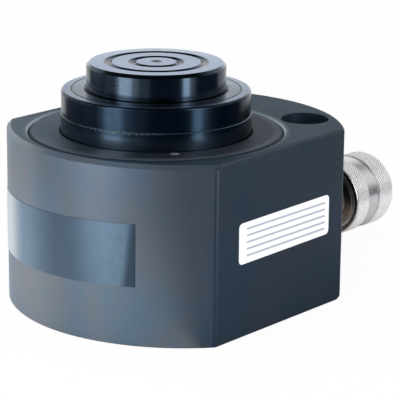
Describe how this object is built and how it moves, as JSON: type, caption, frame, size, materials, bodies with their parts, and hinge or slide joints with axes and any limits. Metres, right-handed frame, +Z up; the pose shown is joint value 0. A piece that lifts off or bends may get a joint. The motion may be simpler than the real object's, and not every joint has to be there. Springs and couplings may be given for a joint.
{
  "type": "telescopic flat body hydraulic cylinder",
  "caption": "Low flat-sided steel hydraulic cylinder with two nested telescoping plungers, counterbored bolt holes, bare labels and a knurled quick coupler on its end.",
  "frame": {"origin": "the plungers' common axis at the base plane the body stands on", "axes": "+Z up along the plungers, in the direction they lift; +X out of the coupler's socket; -Y is the flat that carries the white label"},
  "size_m": [0.2088, 0.1162, 0.1037],
  "materials": {
    "blackened_steel": "satin black oxide",
    "ring_steel": "turned, black oxide",
    "plunger_steel": "glossy black, ground",
    "plated_steel": "zinc plated",
    "collar_steel": "bright plated, knurled",
    "spring_steel": "drawn wire",
    "seal": "matt",
    "backup_ring": "matt",
    "guide_ring": "matt, cloth filled",
    "dark_label": "glossy foil",
    "white_label": "satin foil"
  },
  "bodies": {
    "barrel": {"cylinder_body": "blackened_steel", "gland_ring": "ring_steel", "gland_guide_ring": "guide_ring", "gland_wiper": "seal", "coupler_body": "plated_steel", "coupler_seat_ring": "plated_steel", "coupler_socket_seal": "seal", "coupler_spring": "spring_steel", "collar_snap_ring": "spring_steel", "side_label": "dark_label", "flat_label": "white_label"},
    "outer_stage": {"outer_plunger": "plunger_steel", "outer_piston_seal": "seal", "outer_piston_backup_ring": "backup_ring", "outer_piston_guide_ring": "guide_ring", "plunger_stop_ring": "plunger_steel", "plunger_guide_ring": "guide_ring", "plunger_wiper": "seal"},
    "inner_stage": {"inner_plunger": "plunger_steel", "inner_piston_seal": "seal", "inner_piston_backup_ring": "backup_ring", "inner_piston_guide_ring": "guide_ring"},
    "collar": {"coupler_collar": "collar_steel"},
    "poppet": {"coupler_poppet": "plated_steel"}
  },
  "joints": [
    {"name": "outer_plunger_lift", "type": "slide", "parent": "barrel", "child": "outer_stage", "axis": [0, 0, 1], "range_m": [0, 0.025]},
    {"name": "inner_plunger_lift", "type": "slide", "parent": "outer_stage", "child": "inner_stage", "axis": [0, 0, 1], "range_m": [0, 0.039]},
    {"name": "collar_spin", "type": "hinge", "parent": "barrel", "child": "collar", "pos_m": [0.137, 0, 0.0197], "axis": [1, 0, 0], "continuous": true},
    {"name": "poppet_push", "type": "slide", "parent": "barrel", "child": "poppet", "axis": [-1, 0, 0], "range_m": [0, 0.003], "stiffness_N_per_m": 1500, "springref_m": -0.004, "deforming": ["coupler_spring"]}
  ]
}
